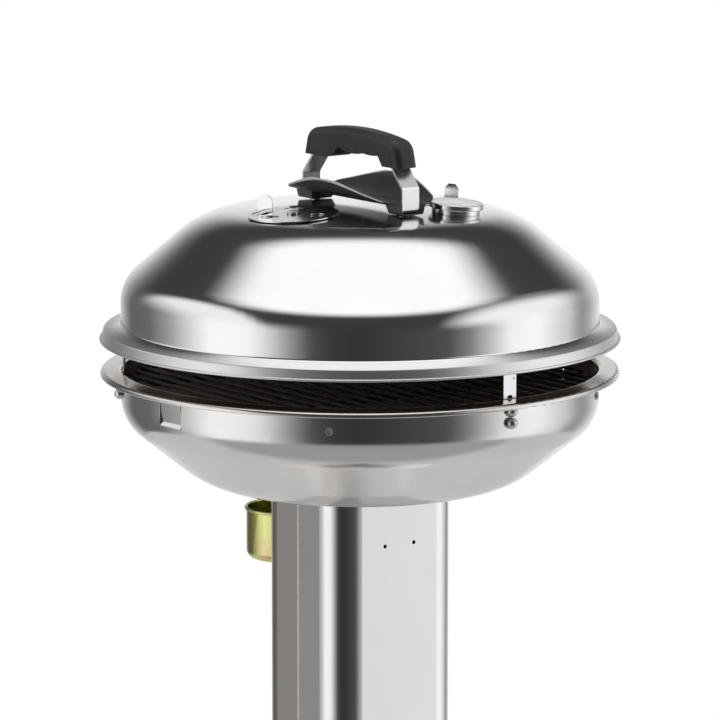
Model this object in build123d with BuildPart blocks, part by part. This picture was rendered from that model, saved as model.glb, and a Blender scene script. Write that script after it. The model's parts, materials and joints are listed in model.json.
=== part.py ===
from build123d import *
from math import asin, atan2, cos, degrees, radians, sin, sqrt, tan
import os

# Pellet grill: a covered round bowl on one box pillar.
# Millimetres and degrees. +Z is up, the origin is on the floor under the axis, the front faces -Y.
# An angle round the axis is counted from the front and grows towards +X.

# Gaps and fits
seat_gap = 0.3
meet_gap = 0.05
pin_gap = 0.05
hole_gap = 0.2

# Base
base_side = 460.0
base_corner = 60.0
base_sheet = 2.0
base_skirt = 24.0
base_edge = 6.0
base_clearance = 6.0
foot_radius = 18.0
foot_stud = 4.0
foot_inset = 52.0

# Pillar
pillar_width = 168.0
pillar_depth = 147.0
pillar_corner = 33.5
pillar_sheet = 1.5
seam_gap = 0.4
seam_flange = 14.0
socket_sheet = 2.0
socket_wall = 40.0
rivet_radius = 2.0
rivet_head = 3.6
rivet_cap = 1.2
seam_rivet_rows = 4
front_hole_radius = 2.25
front_hole_spacing = 39.0
front_hole_drop = 58.3

# Three rests and three legs share a full turn
third_turn = 120.0

# Bowl, with heights counted from the edge of its rim
rim_height = 860.0
bowl_radius = 262.2
bowl_sheet = 1.2
bowl_depth = 122.9
bowl_shoulder = 47.4
bowl_floor_radius = 168.2
bowl_floor_bend = 100.0
bowl_shoulder_bend = 46.0
rim_crest = 6.4
rim_width = 21.0
rim_fall = 1.4
rim_flare = 0.6
rim_bend = 3.0
rim_roll = 4.0
rim_bead = 1.2

# Pressed louvres in the bowl wall
louvre_angle = 86.5
louvre_width = 34.5
louvre_slit = 1.4
louvre_top = 5.0
louvre_height = 26.0
louvre_return = 4.0
louvre_press = 2.4

# Bolts with domed nuts
bolt_radius = 3.0
bolt_head = 5.5
bolt_cap = 3.6
nut_height = 5.0
dome_radius = 6.2
dome_base = 2.0

# Lid rests
rest_width = 17.0
rest_sheet = 2.0
rest_foot = 28.0
rest_tab_short = 7.0
rest_turn = 1.3
rest_bend = 2.0
rest_bolt_low = 18.6
rest_bolt_pitch = 12.8
rest_slot_radius = 3.8
rest_slot_height = 7.6
rest_eye_radius = 1.0
rest_eye_height = 28.6
rest_eye_side = 5.0

# Grate and its studs
stud_front_angle = 43.0
stud_rear_angle = 150.0
stud_drop = 18.0
stud_ring = 4.3
stud_ring_cap = 1.8
stud_socket = 2.7
stud_thread = 8.0
stud_base = 11.0
grate_wire = 2.0
grate_hoop = 3.0
grate_pitch = 20.0
grate_bar_spread = 220.0

# Burn pot and deflector
pot_radius = 55.0
pot_flange = 69.0
pot_depth = 62.0
pot_sheet = 1.5
pot_bend = 4.0
pot_hole = 4.0
pot_holes_round = 12
deflector_radius = 150.0
deflector_rise = 24.0
deflector_height = 62.0
deflector_sheet = 1.5
deflector_lip = 8.0
deflector_bend = 6.0
leg_radius = 104.0
leg_width = 20.0
leg_foot = 16.0
bowl_bolt_spacing = 110.0
socket_bolt_spacing = 100.0

# Grease drain and cup
spout_radius = 9.0
spout_bore = 7.5
spout_flange = 12.5
spout_cap = 1.5
spout_dip = 6.0
drain_nut_radius = 14.0
cup_radius = 48.0
cup_sheet = 0.9
cup_bead = 1.6
cup_height = 57.0
cup_drop = 51.0
cup_bend = 9.0
cup_gap = 12.5
hanger_width = 22.0
hanger_sheet = 1.5
hanger_leg = 34.0
tongue_length = 11.0
hook_width = 34.0
hook_sheet = 1.5
hook_pocket = 4.5
hook_lip = 14.0
hook_back = 22.0
hook_screw_spacing = 20.0
hook_screw_radius = 2.0
hook_screw_head = 3.6
hook_screw_cap = 1.6

# Lid, with heights counted from the lower edge of its lip
lid_gap = 38.1
lid_sheet = 1.0
lid_lip_flare = 3.2
lid_bead = 1.5
lid_flange_width = 18.8
lid_lip = 13.4
lid_flange_rise = 4.0
lid_flange_bend = 4.0
lid_lip_bend = 4.0
lid_shoulder = 62.7
lid_shoulder_bend = 45.0
lid_crown_radius = 172.7
lid_crown_edge = 138.8
lid_crown_bend = 107.0
lid_apex = 147.3
lid_dome_start = 60.0
lid_dome_slack = 0.5

# Handle and heat shield
strap_width = 22.5
strap_sheet = 2.5
strap_bend = 3.0
strap_reach = 93.0
strap_tab = 18.0
strap_rise = 27.5
strap_lean = 41.0
strap_arm = 44.0
grip_width = 29.0
grip_half = 89.0
grip_shoulder = 82.0
grip_crown = 232.0
grip_shoulder_height = 224.0
grip_leg_foot = 196.3
grip_leg_front = 60.0
grip_leg_rear = 45.0
grip_arch_inner = 52.0
grip_palm = 207.0
grip_notch = 2.8
grip_notch_rear = 21.5
grip_notch_front = 24.5
grip_swell = 3.4
grip_swell_front = 0.9
grip_swell_rear = 3.0
grip_corner = 18.0
grip_round = 9.0
shield_sheet = 1.0
shield_lift = 9.1
shield_rise = 22.6
shield_floor_half = 13.75
shield_half_width = 51.0
shield_half_length = 97.0
shield_shoulder = 82.0
shield_shoulder_width = 37.0
shield_tip_width = 14.0
shield_foot_start = 70.0
shield_foot_half = 13.0
shield_foot_lean = 15.0
shield_foot_bend = 1.5
spacer_radius = 7.5
spacer_height = 0.8

# Thermometer
gauge_angle = 34.7
gauge_reach = 110.0
gauge_bezel = 30.0
gauge_bezel_height = 6.0
gauge_body = 26.5
gauge_body_height = 5.5
gauge_glass = 27.0
gauge_glass_sheet = 1.8
gauge_window = 25.5
gauge_window_depth = 3.0
gauge_dial_sheet = 0.6
gauge_edge = 1.2
gauge_neck = 5.0
gauge_neck_length = 14.0
gauge_nut = 9.0
probe_radius = 2.5
probe_length = 62.0
spindle_radius = 1.0
needle_length = 19.0
needle_tail = 6.0
needle_width = 2.0
needle_sheet = 0.5
needle_hub = 2.6
needle_rest = 215.0

# Vents
vent_angle = 85.0
vent_reach = 95.3
vent_radius = 49.5
vent_sheet = 1.0
vent_lift = 0.5
vent_hole = 10.0
vent_hole_ring = 29.0
vent_hole_count = 3
vent_tab_start = 26.0
vent_tab_width = 18.0
vent_tab_height = 20.0
vent_tab_corner = 5.0
vent_turn_left = -71.0
vent_turn_right = -76.0
pivot_radius = 3.0
pivot_head = 7.0
pivot_cap = 1.8

# Air damper on the back of the pillar
damper_radius = 38.0
damper_hole = 9.0
damper_hole_ring = 23.0
damper_tab_start = 20.0
damper_tab_width = 13.0
damper_tab_height = 14.0
damper_tab_corner = 3.0
damper_rise = 62.0

# Sizes that follow from the ones above
base_top = base_clearance + base_skirt
pillar_top = rim_height - bowl_depth
pillar_length = pillar_top - base_top
pillar_inner_width = pillar_width - 2 * pillar_sheet
pillar_inner_depth = pillar_depth - 2 * pillar_sheet
pillar_inner_corner = pillar_corner - pillar_sheet
pillar_face = pillar_depth / 2
pillar_flank = pillar_width / 2
socket_width = pillar_inner_width - 2 * meet_gap
socket_depth = pillar_inner_depth - 2 * meet_gap
socket_corner = pillar_inner_corner - meet_gap
bowl_inner = bowl_radius - bowl_sheet
rim_radius = bowl_radius + rim_width
lid_flange_radius = bowl_radius + lid_flange_width
lid_lip_radius = lid_flange_radius + lid_lip_flare
pot_opening = pot_radius + pot_bend + seat_gap
bowl_floor = -bowl_depth + bowl_sheet
lid_zero = rim_height + lid_gap
upright = (Align.CENTER, Align.CENTER, Align.MIN)
hanging = (Align.CENTER, Align.CENTER, Align.MAX)

# The bowl's floor is flat out to where its bend begins
floor_turn = atan2(bowl_depth - bowl_shoulder, bowl_radius - bowl_floor_radius)
flat_floor_radius = bowl_floor_radius - bowl_floor_bend * tan(floor_turn / 2)

# The lid's crown is one arc from the axis out to twice the dome start
dome_slope = atan2(lid_apex - lid_crown_edge, lid_crown_radius - lid_dome_start)
dome_bend = (lid_dome_start - lid_dome_slack) / tan(dome_slope / 2)

section = Plane(origin=(0, 0, rim_height), x_dir=(1, 0, 0), z_dir=(0, -1, 0))
lid_section = Plane(origin=(0, 0, lid_zero), x_dir=(1, 0, 0), z_dir=(0, -1, 0))


def outward(angle):
    """Unit vector away from the axis."""
    return Vector(sin(radians(angle)), -cos(radians(angle)), 0)


def along(angle):
    """Unit vector round the axis, towards growing angles."""
    return Vector(cos(radians(angle)), sin(radians(angle)), 0)


def meridian(angle, height):
    """Upright plane through the axis: local x is the radius, local y the height."""
    return Plane(origin=(0, 0, height), x_dir=outward(angle), z_dir=along(angle) * -1)


def facing(angle, radius, height):
    """Plane square to the radius, looking outward."""
    place = outward(angle) * radius + Vector(0, 0, height)
    return Plane(origin=place, x_dir=along(angle), z_dir=outward(angle))


def on_crown(angle, radius):
    """Plane that lies on the lid's crown, with local x away from the axis."""
    tilt = asin(radius / dome_bend)
    height = lid_zero + lid_apex - dome_bend * (1 - cos(tilt))
    normal = outward(angle) * sin(tilt) + Vector(0, 0, cos(tilt))
    slope = outward(angle) * cos(tilt) - Vector(0, 0, sin(tilt))
    return Plane(origin=outward(angle) * radius + Vector(0, 0, height), x_dir=slope, z_dir=normal)


def turned(plane, angle):
    """The same plane turned about its own z."""
    turn = radians(angle)
    return Plane(
        origin=plane.origin,
        x_dir=plane.x_dir * cos(turn) + plane.y_dir * sin(turn),
        z_dir=plane.z_dir,
    )


# Base plate: one sheet folded down all round
with BuildPart() as base_plate:
    with BuildSketch(Plane.XY.offset(base_clearance)):
        RectangleRounded(base_side, base_side, base_corner)
    extrude(amount=base_skirt)
    fillet(base_plate.faces().sort_by(Axis.Z)[-1].edges(), base_edge)
    offset(amount=-base_sheet, openings=base_plate.faces().sort_by(Axis.Z)[0])
    foot_spacing = base_side - 2 * foot_inset
    with Locations((0, 0, base_top)):
        with GridLocations(foot_spacing, foot_spacing, 2, 2):
            Hole(foot_stud + hole_gap, depth=2 * base_sheet)
        with GridLocations(socket_bolt_spacing, socket_bolt_spacing, 2, 2):
            Hole(bolt_radius + hole_gap, depth=2 * base_sheet)

# Rubber feet, each with a stud pushed through the plate
with BuildPart() as base_feet:
    with GridLocations(foot_spacing, foot_spacing, 2, 2):
        Cone(foot_radius, foot_radius - base_sheet, base_top - base_sheet, align=upright)
        with Locations((0, 0, base_top - base_sheet)):
            Cylinder(foot_stud, base_sheet, align=upright)

# Pillar foot: a tray bolted to the base, which the pillar slips over
with BuildPart() as pillar_foot:
    with BuildSketch(Plane.XY.offset(base_top)):
        RectangleRounded(socket_width, socket_depth, socket_corner)
    extrude(amount=socket_wall)
    offset(amount=-socket_sheet, openings=pillar_foot.faces().sort_by(Axis.Z)[-1])
    with Locations((0, 0, base_top + socket_sheet)):
        with GridLocations(socket_bolt_spacing, socket_bolt_spacing, 2, 2):
            Hole(bolt_radius + hole_gap, depth=2 * socket_sheet)

# Bolts of the pillar foot, heads up, with their nuts under the base plate
with BuildPart() as foot_bolts:
    with Locations((0, 0, base_top + socket_sheet)):
        with GridLocations(socket_bolt_spacing, socket_bolt_spacing, 2, 2):
            Cylinder(bolt_head, bolt_cap, align=upright)
            Cylinder(bolt_radius, socket_sheet + base_sheet + nut_height, align=hanging)

with BuildPart() as foot_nuts:
    with BuildSketch(Plane.XY.offset(base_top - base_sheet)):
        with GridLocations(socket_bolt_spacing, socket_bolt_spacing, 2, 2):
            RegularPolygon(bolt_head, 6)
            Circle(bolt_radius + pin_gap, mode=Mode.SUBTRACT)
    extrude(amount=-nut_height)

# Pillar: two folded halves that meet on the middle of each side
flange_bottom = base_top + socket_wall + seam_flange
flange_top = pillar_top - socket_wall - seam_flange
rivet_reach = pillar_flank - seam_flange / 2 - pillar_sheet / 2
rivet_pitch = (flange_top - flange_bottom) / seam_rivet_rows
rivet_middle = (flange_bottom + flange_top) / 2
rivet_plane = Plane(origin=(0, 0, rivet_middle), x_dir=(1, 0, 0), z_dir=(0, -1, 0))


def pillar_half(side):
    """Half of the pillar with its seam flanges; side is -1 for the front, 1 for the back."""
    away = Align.MIN if side > 0 else Align.MAX
    with BuildPart() as half:
        with BuildSketch(Plane.XY.offset(base_top)):
            RectangleRounded(pillar_width, pillar_depth, pillar_corner)
            RectangleRounded(pillar_inner_width, pillar_inner_depth, pillar_inner_corner, mode=Mode.SUBTRACT)
            with Locations((0, side * seam_gap / 2)):
                Rectangle(pillar_width, pillar_depth, align=(Align.CENTER, away), mode=Mode.INTERSECT)
        extrude(amount=pillar_length)
        with BuildSketch(Plane.XY.offset(flange_bottom)):
            for end in (-1, 1):
                with Locations((end * (pillar_flank - seam_flange / 2), side * seam_gap / 2)):
                    Rectangle(seam_flange, pillar_sheet, align=(Align.CENTER, away))
        extrude(amount=flange_top - flange_bottom)
        with Locations(rivet_plane):
            with GridLocations(2 * rivet_reach, rivet_pitch, 2, seam_rivet_rows):
                Cylinder(rivet_radius + pin_gap, 4 * pillar_sheet, mode=Mode.SUBTRACT)
    return half.part


front_hole_height = pillar_top - front_hole_drop
with BuildPart() as pillar_front:
    add(pillar_half(-1))
    with Locations(facing(0, pillar_face, front_hole_height)):
        with GridLocations(front_hole_spacing, front_hole_spacing, 2, 1):
            Hole(front_hole_radius, depth=2 * pillar_sheet)

cup_rim_height = pillar_top - cup_drop
hook_top = cup_rim_height + hook_lip / 2
hook_screw_height = hook_top - hook_lip - hook_back / 2
damper_height = base_top + socket_wall + damper_rise
damper_plane = facing(180, pillar_face, damper_height)
hook_screw_plane = facing(180, pillar_face, hook_screw_height)
with BuildPart() as pillar_rear:
    add(pillar_half(1))
    with Locations(hook_screw_plane):
        with GridLocations(hook_screw_spacing, hook_screw_spacing, 2, 1):
            Hole(hook_screw_radius + pin_gap, depth=2 * pillar_sheet)
    with Locations(damper_plane):
        Hole(pivot_radius + pin_gap, depth=2 * pillar_sheet)
    with Locations(turned(damper_plane, 180 / vent_hole_count)):
        with PolarLocations(damper_hole_ring, vent_hole_count):
            Hole(damper_hole, depth=2 * pillar_sheet)

with BuildPart() as seam_rivets:
    with Locations(rivet_plane):
        with GridLocations(2 * rivet_reach, rivet_pitch, 2, seam_rivet_rows):
            Cylinder(rivet_radius, 2 * pillar_sheet + seam_gap)
            for side in (-1, 1):
                with Locations((0, 0, side * (pillar_sheet + seam_gap / 2 + rivet_cap / 2))):
                    Cylinder(rivet_head, rivet_cap)

# Pillar head: a tray upside down, which closes the pillar and carries the bowl
with BuildPart() as pillar_head:
    with BuildSketch(Plane.XY.offset(pillar_top)):
        RectangleRounded(socket_width, socket_depth, socket_corner)
    extrude(amount=-socket_wall)
    offset(amount=-socket_sheet, openings=pillar_head.faces().sort_by(Axis.Z)[0])
    with Locations((0, 0, pillar_top)):
        Hole(pot_opening, depth=2 * socket_sheet)
        with GridLocations(bowl_bolt_spacing, bowl_bolt_spacing, 2, 2):
            Hole(bolt_radius + hole_gap, depth=2 * socket_sheet)

# Places round the bowl where bolts go through the wall
rest_angles = (rest_turn, rest_turn - third_turn, rest_turn + third_turn)
rest_bolt_heights = (-rest_bolt_low, rest_bolt_pitch - rest_bolt_low)
rest_face = sqrt(bowl_inner**2 - (rest_width / 2) ** 2) - meet_gap
rest_places = [
    (angle, rim_height + height) for angle in rest_angles for height in rest_bolt_heights
]
stud_angles = (-stud_front_angle, stud_front_angle, -stud_rear_angle, stud_rear_angle)
stud_places = [(angle, rim_height - stud_drop) for angle in stud_angles]
drain_reach = flat_floor_radius - spout_flange - cup_bead
louvre_arc = degrees(louvre_width / bowl_radius)
slit_arc = degrees(louvre_slit / bowl_radius)

# Bowl: drawn sheet with a sloping rim, a rolled edge and a pressed louvre on each side
with BuildPart() as bowl:
    with BuildSketch(section):
        with BuildLine():
            FilletPolyline(
                (pot_opening, -bowl_depth),
                (bowl_floor_radius, -bowl_depth),
                (bowl_radius, -bowl_shoulder),
                (bowl_radius, rim_crest),
                (rim_radius, rim_crest - rim_fall),
                (rim_radius + rim_flare, rim_bead),
                radius=(bowl_floor_bend, bowl_shoulder_bend, rim_bend, rim_roll),
            )
            offset(amount=bowl_sheet, side=Side.LEFT)
        make_face()
        with Locations((rim_radius + rim_flare, rim_bead)):
            Circle(rim_bead)
    revolve(axis=Axis.Z)
    for side in (-1, 1):
        window_arc = louvre_arc + 2 * slit_arc
        with BuildSketch(meridian(side * louvre_angle - window_arc / 2, rim_height)):
            with Locations((bowl_radius, -louvre_top)):
                Rectangle(4 * bowl_sheet, louvre_height, align=(Align.CENTER, Align.MAX))
        revolve(axis=Axis.Z, revolution_arc=window_arc, mode=Mode.SUBTRACT)
        with BuildSketch(meridian(side * louvre_angle - louvre_arc / 2, rim_height)):
            with BuildLine():
                Polyline(
                    (bowl_radius, bowl_sheet - louvre_top),
                    (bowl_radius, -louvre_top),
                    (bowl_radius - louvre_press, louvre_return - louvre_top - louvre_height),
                    (bowl_radius, -louvre_top - louvre_height),
                    (bowl_radius, -louvre_top - louvre_height - bowl_sheet),
                )
                offset(amount=bowl_sheet, side=Side.RIGHT)
            make_face()
        revolve(axis=Axis.Z, revolution_arc=louvre_arc)
    for angle, height in rest_places + stud_places:
        with Locations(facing(angle, bowl_radius, height)):
            Cylinder(bolt_radius + hole_gap, 6 * bowl_sheet, mode=Mode.SUBTRACT)
    with Locations((0, 0, pillar_top)):
        with GridLocations(bowl_bolt_spacing, bowl_bolt_spacing, 2, 2):
            Cylinder(bolt_radius + hole_gap, 4 * bowl_sheet, mode=Mode.SUBTRACT)
        with Locations((0, drain_reach)):
            Cylinder(spout_radius + pin_gap, 4 * bowl_sheet, mode=Mode.SUBTRACT)

# Bolts between the bowl and the pillar head
with BuildPart() as bowl_bolts:
    with Locations((0, 0, rim_height + bowl_floor)):
        with GridLocations(bowl_bolt_spacing, bowl_bolt_spacing, 2, 2):
            Cylinder(bolt_head, bolt_cap, align=upright)
            Cylinder(bolt_radius, bowl_sheet + socket_sheet + nut_height, align=hanging)

with BuildPart() as bowl_nuts:
    with BuildSketch(Plane.XY.offset(pillar_top - socket_sheet)):
        with GridLocations(bowl_bolt_spacing, bowl_bolt_spacing, 2, 2):
            RegularPolygon(bolt_head, 6)
            Circle(bolt_radius + pin_gap, mode=Mode.SUBTRACT)
    extrude(amount=-nut_height)

# Lid rests: bent strips inside the wall that hold the lid's flange up
flange_slope = lid_flange_rise / (lid_flange_radius - bowl_radius)
flange_lean = atan2(lid_flange_rise, lid_flange_radius - bowl_radius)
rest_under = (lid_sheet + rest_sheet + seat_gap) / cos(flange_lean)
rest_tab = lid_flange_radius - rest_face - rest_tab_short
lid_rests = []
for angle in rest_angles:
    with BuildPart() as lid_rest:
        flange_height = lid_gap + lid_lip + lid_flange_rise - rest_under
        tab_start = flange_height - flange_slope * (rest_face - bowl_radius)
        with BuildSketch(meridian(angle, rim_height)):
            with BuildLine():
                FilletPolyline(
                    (rest_face, -rest_foot),
                    (rest_face, tab_start),
                    (rest_face + rest_tab, tab_start - flange_slope * rest_tab),
                    radius=rest_bend,
                )
                offset(amount=rest_sheet, side=Side.LEFT)
            make_face()
        extrude(amount=rest_width / 2, both=True)
        for height in rest_bolt_heights:
            with Locations(facing(angle, rest_face, rim_height + height)):
                Cylinder(bolt_radius + hole_gap, 4 * rest_sheet, mode=Mode.SUBTRACT)
        with BuildSketch(facing(angle, rest_face, rim_height + rest_slot_height)):
            Circle(rest_slot_radius)
            split(bisect_by=Plane.XZ, keep=Keep.BOTTOM)
        extrude(amount=2 * rest_sheet, both=True, mode=Mode.SUBTRACT)
        with BuildSketch(facing(angle, rest_face, rim_height + rest_eye_height)):
            with Locations((rest_eye_side, 0)):
                Circle(rest_eye_radius)
        extrude(amount=2 * rest_sheet, both=True, mode=Mode.SUBTRACT)
    lid_rests.append(lid_rest)

rest_inner = rest_face - rest_sheet
with BuildPart() as rest_bolts:
    for angle, height in rest_places:
        with Locations(facing(angle, rest_inner, height)):
            Cylinder(bolt_head, bolt_cap, align=hanging)
            Cylinder(bolt_radius, bowl_radius - rest_inner + nut_height, align=upright)

with BuildPart() as rest_dome_nuts:
    for angle, height in rest_places:
        with Locations(facing(angle, bowl_radius + meet_gap, height)):
            Cylinder(dome_radius, dome_base, align=upright)
            with Locations((0, 0, dome_base)):
                Sphere(dome_radius, arc_size1=0, align=upright)
            Cylinder(bolt_radius + pin_gap, nut_height, align=upright, mode=Mode.SUBTRACT)

# Grate studs: a ring-headed bolt outside, a domed nut inside that the grate lies on
with BuildPart() as grate_studs:
    for angle, height in stud_places:
        with Locations(facing(angle, bowl_radius + meet_gap, height)):
            Cylinder(stud_ring, stud_ring_cap, align=upright)
            Cylinder(bolt_radius, bowl_sheet + stud_thread, align=hanging)
            with Locations((0, 0, stud_ring_cap)):
                Cylinder(stud_socket, stud_ring_cap, align=hanging, mode=Mode.SUBTRACT)

dome_seat = sqrt(bowl_inner**2 - dome_radius**2) - meet_gap
with BuildPart() as stud_dome_nuts:
    for angle, height in stud_places:
        with Locations(facing(angle + 180, -dome_seat, height)):
            Cylinder(dome_radius, stud_base, align=upright)
            with Locations((0, 0, stud_base)):
                Sphere(dome_radius, arc_size1=0, align=upright)
            Cylinder(bolt_radius + pin_gap, stud_thread + seat_gap, align=upright, mode=Mode.SUBTRACT)

# Cooking grate: a hoop, two bars across it and the wires on top
grate_radius = dome_seat - stud_base
grate_height = rim_height - stud_drop + dome_radius + seat_gap + grate_hoop
with BuildPart() as cooking_grate:
    with BuildSketch(meridian(0, grate_height)):
        with Locations((grate_radius, 0)):
            Circle(grate_hoop)
    revolve(axis=Axis.Z)
    for side in (-1, 1):
        bar_offset = side * grate_bar_spread / 2
        bar_half = sqrt(grate_radius**2 - bar_offset**2)
        with Locations(Plane(origin=(0, bar_offset, grate_height), z_dir=(1, 0, 0))):
            Cylinder(grate_hoop, 2 * bar_half)
    wires_each_side = int((grate_radius - grate_hoop) / grate_pitch)
    for step in range(-wires_each_side, wires_each_side + 1):
        wire_offset = step * grate_pitch
        wire_half = sqrt(grate_radius**2 - wire_offset**2)
        with Locations(Plane(origin=(wire_offset, 0, grate_height + grate_hoop), z_dir=(0, 1, 0))):
            Cylinder(grate_wire, 2 * wire_half)

# Burn pot: a perforated cup that hangs through the bowl's floor into the pillar's draught
pot_seat = rim_height + bowl_floor
with BuildPart() as burn_pot:
    with BuildSketch(meridian(90, pot_seat)):
        with BuildLine():
            FilletPolyline(
                (pot_flange, 0),
                (pot_radius, 0),
                (pot_radius, -pot_depth),
                (-pot_sheet, -pot_depth),
                radius=(pot_bend, pot_bend),
            )
            offset(amount=pot_sheet, side=Side.RIGHT)
        make_face()
        split(bisect_by=Plane.YZ, keep=Keep.TOP)
    revolve(axis=Axis.Z)
    for row in (1, 2):
        for step in range(pot_holes_round):
            turn = 360 * (step + row / 2) / pot_holes_round
            with Locations(facing(turn, pot_radius, pot_seat - pot_depth * row / 3)):
                Cylinder(pot_hole, 4 * pot_sheet, mode=Mode.SUBTRACT)
    with Locations((0, 0, pot_seat - pot_depth)):
        Cylinder(pot_hole, 4 * pot_sheet, mode=Mode.SUBTRACT)
        with PolarLocations(pot_radius / 2, pot_holes_round // 2):
            Cylinder(pot_hole, 4 * pot_sheet, mode=Mode.SUBTRACT)

# Heat deflector: a shallow cone on three legs, which sheds grease away from the pot
deflector_edge = bowl_floor + deflector_height
deflector_slope = deflector_rise / deflector_radius
leg_angles = (0, -third_turn, third_turn)
with BuildPart() as heat_deflector:
    with BuildSketch(section):
        with BuildLine():
            FilletPolyline(
                (-deflector_bend, deflector_edge + deflector_slope * (deflector_radius + deflector_bend)),
                (deflector_radius, deflector_edge),
                (deflector_radius, deflector_edge - deflector_lip),
                radius=deflector_bend,
            )
            offset(amount=deflector_sheet, side=Side.RIGHT)
        make_face()
        split(bisect_by=Plane.YZ, keep=Keep.TOP)
    revolve(axis=Axis.Z)
    for angle in leg_angles:
        leg_top = deflector_edge + deflector_slope * (deflector_radius - leg_radius)
        with BuildSketch(meridian(angle, rim_height)):
            with BuildLine():
                FilletPolyline(
                    (leg_radius + leg_foot, bowl_floor),
                    (leg_radius, bowl_floor),
                    (leg_radius, leg_top - deflector_sheet / 2),
                    radius=rest_bend,
                )
                offset(amount=deflector_sheet, side=Side.RIGHT)
            make_face()
        extrude(amount=leg_width / 2, both=True)

# Grease spout: a flanged tube through the bowl's floor, held by a ring nut
spout_length = bowl_sheet + cup_drop + spout_dip
with BuildPart() as grease_spout:
    with Locations((0, drain_reach, rim_height + bowl_floor)):
        Cylinder(spout_flange, spout_cap, align=upright)
        Cylinder(spout_radius, spout_length, align=hanging)
        with Locations((0, 0, spout_cap)):
            Cylinder(spout_bore, spout_length + spout_cap, align=hanging, mode=Mode.SUBTRACT)

with BuildPart() as spout_nut:
    with BuildSketch(Plane.XY.offset(pillar_top)):
        with Locations((0, drain_reach)):
            RegularPolygon(drain_nut_radius, 6)
            Circle(spout_radius + pin_gap, mode=Mode.SUBTRACT)
    extrude(amount=-nut_height)

# Grease cup: a deep-drawn can with a beaded rim
cup_rim_radius = cup_radius + 2 * cup_bead - cup_sheet
cup_reach = pillar_face + cup_gap + cup_rim_radius
cup_section = Plane(origin=(0, cup_reach, cup_rim_height), x_dir=(1, 0, 0), z_dir=(0, -1, 0))
cup_axis = Axis((0, cup_reach, 0), (0, 0, 1))
cup_inner = cup_radius - cup_sheet
hanger_outer = cup_inner - meet_gap
rivet_heights = (-hanger_leg / 3, -hanger_leg * 2 / 3)
with BuildPart() as grease_cup:
    with BuildSketch(cup_section):
        with BuildLine():
            FilletPolyline(
                (-cup_sheet, -cup_height),
                (cup_radius, -cup_height),
                (cup_radius, 0),
                radius=cup_bend,
            )
            offset(amount=cup_sheet, side=Side.LEFT)
        make_face()
        split(bisect_by=Plane.YZ, keep=Keep.TOP)
        with Locations((cup_radius + cup_bead - cup_sheet, 0)):
            Circle(cup_bead)
    revolve(axis=cup_axis)
    for height in rivet_heights:
        with Locations(Plane(origin=(0, cup_reach - cup_radius, cup_rim_height + height), z_dir=(0, -1, 0))):
            Cylinder(rivet_radius + pin_gap, 6 * cup_sheet, mode=Mode.SUBTRACT)

# Cup hanger: a strip riveted inside the cup, bent over the hook on the pillar
web_height = hook_top + seat_gap
tongue_reach = pillar_face + (hook_pocket - hanger_sheet) / 2
with BuildPart() as cup_hanger:
    with BuildSketch(Plane.XY.offset(cup_rim_height - hanger_leg)):
        with Locations((0, cup_reach)):
            Circle(hanger_outer)
            Circle(hanger_outer - hanger_sheet, mode=Mode.SUBTRACT)
            Rectangle(hanger_width, cup_radius, align=(Align.CENTER, Align.MAX), mode=Mode.INTERSECT)
    extrude(amount=hanger_leg + web_height + hanger_sheet - cup_rim_height)
    web_end = cup_reach - sqrt(hanger_outer**2 - (hanger_width / 2) ** 2)
    with BuildSketch(Plane.XY.offset(web_height)):
        with Locations((0, tongue_reach)):
            Rectangle(hanger_width, web_end - tongue_reach, align=(Align.CENTER, Align.MIN))
        with Locations((0, cup_reach)):
            Circle(hanger_outer - hanger_sheet, mode=Mode.SUBTRACT)
    extrude(amount=hanger_sheet)
    with Locations((0, tongue_reach, web_height)):
        Box(hanger_width, hanger_sheet, tongue_length, align=(Align.CENTER, Align.MIN, Align.MAX))
    for height in rivet_heights:
        with Locations(Plane(origin=(0, cup_reach - cup_radius, cup_rim_height + height), z_dir=(0, -1, 0))):
            Cylinder(rivet_radius + pin_gap, 10 * cup_sheet, mode=Mode.SUBTRACT)

with BuildPart() as cup_rivets:
    hanger_inner = hanger_outer - hanger_sheet
    grip_length = cup_radius - sqrt(hanger_inner**2 - rivet_head**2)
    for height in rivet_heights:
        with Locations(Plane(origin=(0, cup_reach - cup_radius, cup_rim_height + height), z_dir=(0, -1, 0))):
            Cylinder(rivet_head, rivet_cap, align=upright)
            Cylinder(rivet_radius, grip_length, align=hanging)
            with Locations((0, 0, -grip_length)):
                Cylinder(rivet_head, rivet_cap, align=hanging)

# Cup hook: a stepped plate on the pillar whose lip holds the hanger
with BuildPart() as cup_hook:
    with BuildSketch(meridian(180, 0)):
        with BuildLine():
            Polyline(
                (pillar_face, hook_top - hook_lip - hook_back),
                (pillar_face, hook_top - hook_lip),
                (pillar_face + hook_pocket, hook_top - hook_lip + hook_pocket / 2),
                (pillar_face + hook_pocket, hook_top),
            )
            offset(amount=hook_sheet, side=Side.RIGHT)
        make_face()
    extrude(amount=hook_width / 2, both=True)
    with Locations(hook_screw_plane):
        with GridLocations(hook_screw_spacing, hook_screw_spacing, 2, 1):
            Cylinder(hook_screw_radius + pin_gap, 4 * hook_sheet, mode=Mode.SUBTRACT)

with BuildPart() as hook_screws:
    with Locations(facing(180, pillar_face + hook_sheet, hook_screw_height)):
        with GridLocations(hook_screw_spacing, hook_screw_spacing, 2, 1):
            Cylinder(hook_screw_head, hook_screw_cap, align=upright)
            Cylinder(hook_screw_radius, hook_sheet + 4 * pillar_sheet, align=hanging)


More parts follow.
